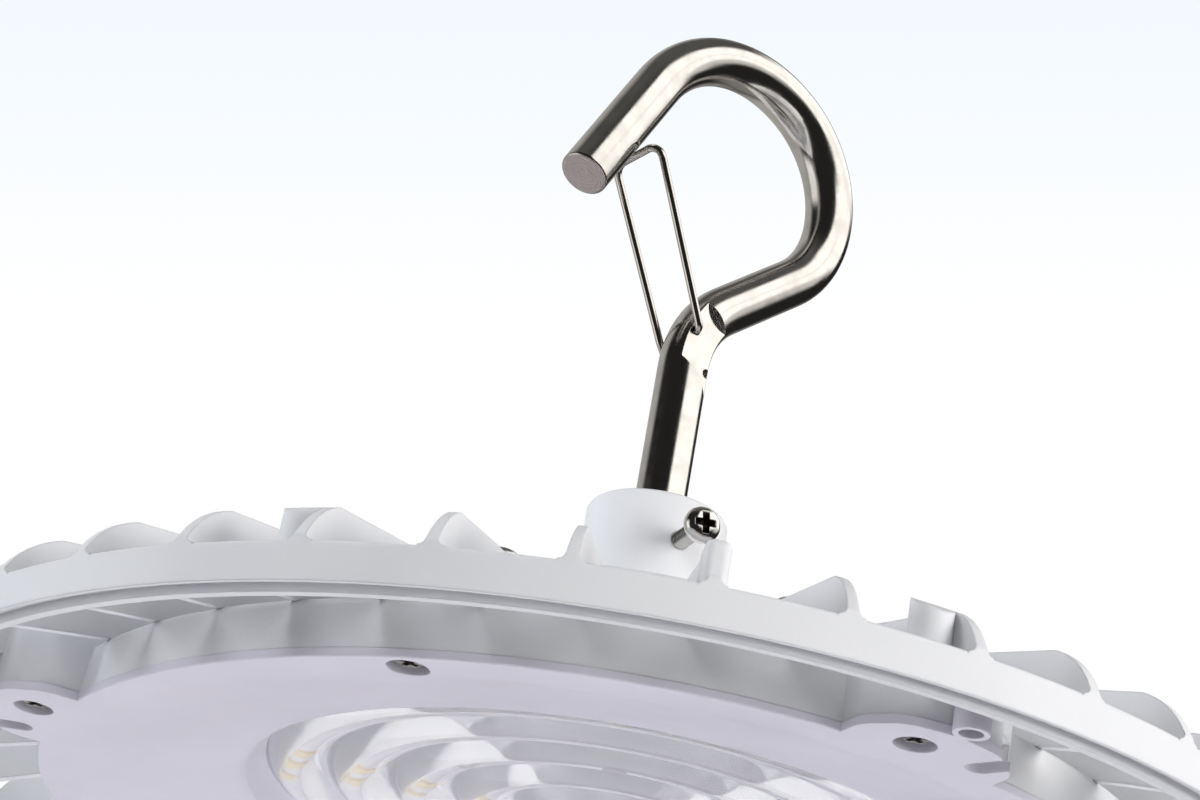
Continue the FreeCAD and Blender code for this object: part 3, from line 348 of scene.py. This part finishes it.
materials = {
    "casting_paint": powder_paint("casting_paint", (0.665, 0.67, 0.685), (0.635, 0.64, 0.66)),
    # painted light: the lens cover has the casting's paint; its darker, lilac colour here is the tint of the
    # light from below
    "frame_paint": powder_paint("frame_paint", (0.62, 0.605, 0.675), (0.59, 0.575, 0.645), 0.0004),
    "hook_steel": hook_steel(),
    "wire_steel": plain_steel("wire_steel", (0.70, 0.66, 0.61), 0.08, 0.14, 0.06),
    "lock_screw_steel": lock_screw_steel(),
    "screw_steel": plain_steel("screw_steel", (0.62, 0.60, 0.58), 0.2, 0.32),
    "clear_lens": clear_plastic(),
    "seal_rubber": moulded("seal_rubber", (0.16, 0.16, 0.17), 0.7),
    "board_white": moulded("board_white", (0.86, 0.86, 0.88), 0.35, 0.2),
    "chip_yellow": led_phosphor(),
    "pad_grey": moulded("pad_grey", (0.30, 0.31, 0.35), 0.7),
    "white_plastic": moulded("white_plastic", (0.80, 0.80, 0.78), 0.35),
    "lead_insulation": moulded("lead_insulation", (0.55, 0.03, 0.02), 0.45),
    "driver_can": moulded("driver_can", (0.55, 0.56, 0.58), 0.4, 0.3, 500.0, 0.8),
    "gland_plastic": moulded("gland_plastic", (0.10, 0.105, 0.115), 0.5, 0.6, 1600.0),
}
for part in frame["record"]["subparts"]:
    shown = nodes[part["node"]]
    shown.data.materials.clear()
    shown.data.materials.append(materials[part["material_slot"]])


# ---- lock screw with its thread and cross recess -------------------------------------------------
def new_piece(name, mesh, slot, body="fixture"):
    piece = bpy.data.objects.new(name, mesh)
    scene.collection.objects.link(piece)
    mesh.materials.append(materials[slot])
    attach(piece, body)
    return piece


def mesh_of(bm, name):
    mesh = bpy.data.meshes.new(name)
    bm.to_mesh(mesh)
    bm.free()
    return mesh


def closed_mesh(bm, name, rings):
    """A mesh of the faces between neighbouring rings of vertices, closed at both ends."""
    steps = len(rings[0])
    for lower, upper in zip(rings, rings[1:]):
        for k in range(steps):
            bm.faces.new((lower[k], lower[(k + 1) % steps], upper[(k + 1) % steps], upper[k]))
    bm.faces.new(list(reversed(rings[0])))
    bm.faces.new(rings[-1])
    return mesh_of(bm, name)


def around(bm, radius, turn, height):
    """A vertex at a share of a full turn round +Z."""
    angle = 2 * math.pi * turn
    return bm.verts.new((radius * math.cos(angle), radius * math.sin(angle), height))


def head_mesh(name):
    bm = bmesh.new()
    rings = [[around(bm, radius, k / LOCK_HEAD_STEPS, height) for k in range(LOCK_HEAD_STEPS)]
             for radius, height in LOCK_HEAD]
    return closed_mesh(bm, name, rings)


def thread_mesh(name):
    """The threaded shank, as one grid of vertices whose radius follows the helix."""
    bm = bmesh.new()
    length = THREAD_END - THREAD_START
    rows = int(length / THREAD_PITCH * THREAD_ROWS_PER_PITCH)
    rings = []
    for row in range(rows + 1):
        height = THREAD_START + length * row / rows
        fade = min(1.0, (height - THREAD_START) / THREAD_PITCH)
        ring = []
        for k in range(THREAD_STEPS):
            turn = k / THREAD_STEPS
            wave = abs(((height / THREAD_PITCH - turn) % 1.0) * 2 - 1)
            crest = min(1.0, max(0.0, THREAD_CREST - wave * THREAD_SLOPE))
            ring.append(around(bm, THREAD_CORE + (THREAD_RADIUS - THREAD_CORE) * crest * fade, turn, height))
        rings.append(ring)
    return closed_mesh(bm, name, rings)


def cross_mesh(name):
    """The two tapered arms of the cross that is cut into the screw's head."""
    bm = bmesh.new()
    for turn in (0, 1):
        arm = Matrix.Rotation(turn * math.pi / 2, 3, "Z")
        low_face, top_face = (
            [bm.verts.new(arm @ Vector((x * length, y * width, height)))
             for x, y in ((-1, -1), (1, -1), (1, 1), (-1, 1))]
            for length, width, height in (CROSS_LOW, CROSS_TOP))
        bm.faces.new(list(reversed(low_face)))
        bm.faces.new(top_face)
        for k in range(4):
            bm.faces.new((low_face[k], low_face[(k + 1) % 4], top_face[(k + 1) % 4], top_face[k]))
    return mesh_of(bm, name)


def cut(piece, tool):
    """Cuts a tool out of a piece for good."""
    scene.collection.objects.link(tool)
    change = piece.modifiers.new("cut", "BOOLEAN")
    change.operation = "DIFFERENCE"
    change.solver = "EXACT"
    change.use_self = True
    change.object = tool
    evaluated = piece.evaluated_get(bpy.context.evaluated_depsgraph_get())
    mesh = bpy.data.meshes.new_from_object(evaluated)
    piece.modifiers.clear()
    piece.data = mesh
    bpy.data.objects.remove(tool)


def make_lock_screw():
    """The screw's head and its threaded shank, in place of the model's plain screw."""
    name = "hook_lock_screw_head"
    head_piece = new_piece(name, head_mesh(name), "lock_screw_steel")
    cut(head_piece, bpy.data.objects.new("cross", cross_mesh("cross")))
    name = "hook_lock_screw_thread"
    shank = new_piece(name, thread_mesh(name), "lock_screw_steel")
    facing = LOCK_AXIS.to_track_quat("Z", "Y").to_matrix().to_4x4()
    for piece in (head_piece, shank):
        mesh = piece.data
        mesh.transform(Matrix.Translation(LOCK_SEAT) @ facing @ Matrix.Rotation(LOCK_HEAD_TURN, 4, "Z"))
        for face in mesh.polygons:
            face.use_smooth = True
        mesh.set_sharp_from_angle(angle=SMOOTH_ANGLE)
    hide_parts("hook_lock_screw")


# ---- surroundings --------------------------------------------------------------------------------
def make_world():
    """White surroundings for the eye, a darker studio in mirrors and an even fill for everything else."""
    world = bpy.data.worlds.new("studio")
    scene.world = world
    world.use_nodes = True
    tree = world.node_tree
    tree.nodes.clear()

    def node(kind, **values):
        made = tree.nodes.new(kind)
        for key, value in values.items():
            setattr(made, key, value)
        return made

    def put(target, value):
        if isinstance(value, bpy.types.NodeSocket):
            tree.links.new(value, target)
        else:
            target.default_value = value

    def work(operation, first, second=0.0):
        made = node("ShaderNodeMath", operation=operation)
        put(made.inputs[0], first)
        put(made.inputs[1], second)
        return made.outputs[0]

    def rise(value, start, end):
        """0 to 1 while value goes from start to end."""
        made = node("ShaderNodeMapRange", interpolation_type="SMOOTHSTEP")
        put(made.inputs["Value"], value)
        made.inputs["From Min"].default_value = start
        made.inputs["From Max"].default_value = end
        return made.outputs[0]

    def between(value, ends, soft):
        """1 between both ends, and soft towards 0 outside them."""
        return work("MULTIPLY", rise(value, ends[0] - soft, ends[0] + soft),
                    rise(value, ends[1] + soft, ends[1] - soft))

    def background(colour, strength):
        shader = node("ShaderNodeBackground")
        put(shader.inputs[0], colour)
        put(shader.inputs[1], strength)
        return shader.outputs[0]

    def choose(factor, first, second):
        made = node("ShaderNodeMixShader")
        put(made.inputs[0], factor)
        put(made.inputs[1], first)
        put(made.inputs[2], second)
        return made.outputs[0]

    direction = node("ShaderNodeTexCoord").outputs["Generated"]
    axes = node("ShaderNodeSeparateXYZ")
    put(axes.inputs[0], direction)
    x, y, z = axes.outputs
    degrees = 180.0 / math.pi
    azimuth = work("MULTIPLY", work("ARCTAN2", x, work("MULTIPLY", y, -1.0)), degrees)
    elevation = work("MULTIPLY", work("ARCSINE", z), degrees)

    level = MIRROR_DARK
    for across, above, soft, strength in PANELS:
        patch = work("MULTIPLY", between(azimuth, across, soft), between(elevation, above, soft))
        level = work("MAXIMUM", level, work("MULTIPLY", patch, strength))
    for start, end, strength in MIRROR_CAPS:
        level = work("ADD", level, work("MULTIPLY", rise(elevation, start, end), strength))
    mirror = background(MIRROR_COLOUR, level)

    sky = node("ShaderNodeMix", data_type="RGBA")
    toward = node("ShaderNodeVectorMath", operation="DOT_PRODUCT")
    put(toward.inputs[0], direction)
    put(toward.inputs[1], CAMERA_UP)
    put(sky.inputs[0], rise(toward.outputs["Value"], *SKY_TINT_RANGE))
    put(sky.inputs[MIX_FIRST], SKY_WHITE)
    put(sky.inputs[MIX_SECOND], SKY_TINT)
    eye = background(sky.outputs[MIX_RESULT], 1.0)

    path = node("ShaderNodeLightPath").outputs
    light = choose(path["Is Glossy Ray"], background(FILL_COLOUR, FILL), mirror)
    seen = work("MAXIMUM", path["Is Camera Ray"], path["Is Transmission Ray"])
    put(node("ShaderNodeOutputWorld").inputs["Surface"], choose(seen, light, eye))


def make_floor():
    """A plain pale floor well below the light: white to the eye, the lens and metal, open from below."""
    bpy.ops.mesh.primitive_plane_add(size=FLOOR_SIZE, location=(0, 0, FLOOR_HEIGHT))
    floor = bpy.context.object
    floor.name = "floor"
    s = Shader("floor_pale")
    s.finish(Base_Color=s.mix(s.noise(3.0), (0.86, 0.86, 0.88), (0.88, 0.88, 0.90)), Roughness=0.8)
    path = s.add("ShaderNodeLightPath").outputs
    seen = s.math("MAXIMUM", path["Is Camera Ray"], path["Is Transmission Ray"])
    seen = s.math("MAXIMUM", seen, path["Is Glossy Ray"])
    white = s.add("ShaderNodeEmission")
    white.inputs["Strength"].default_value = 1.0
    above = s.either(seen, s.surface.outputs[0], white.outputs[0])
    below = s.add("ShaderNodeBsdfTransparent").outputs[0]
    s.show(s.either(s.add("ShaderNodeNewGeometry").outputs["Backfacing"], above, below))
    floor.data.materials.append(s.material)


def make_lamp(name, direction, distance, size, power, colour, aim):
    data = bpy.data.lights.new(name, "AREA")
    data.shape = "RECTANGLE"
    data.size, data.size_y = size
    data.energy = power
    data.color = colour
    lamp = bpy.data.objects.new(name, data)
    scene.collection.objects.link(lamp)
    back = Vector(direction).normalized()
    lamp.location = Vector(aim) + back * distance
    lamp.visible_camera = False
    lamp.visible_glossy = False
    lamp.rotation_mode = "QUATERNION"
    lamp.rotation_quaternion = back.to_track_quat("Z", "Y")


def make_camera():
    data = bpy.data.cameras.new("camera")
    data.lens = CAMERA_LENS
    data.sensor_width = CAMERA_SENSOR
    camera = bpy.data.objects.new("camera", data)
    scene.collection.objects.link(camera)
    camera.rotation_mode = "QUATERNION"
    axes = Matrix((CAMERA_RIGHT, CAMERA_UP, -CAMERA_FORWARD))
    camera.rotation_quaternion = axes.transposed().to_quaternion()
    camera.location = CAMERA_PLACE
    scene.camera = camera


make_lock_screw()
make_world()
make_floor()
make_camera()
for lamp in LAMPS:
    make_lamp(*lamp)

scene.view_settings.view_transform = "Standard"
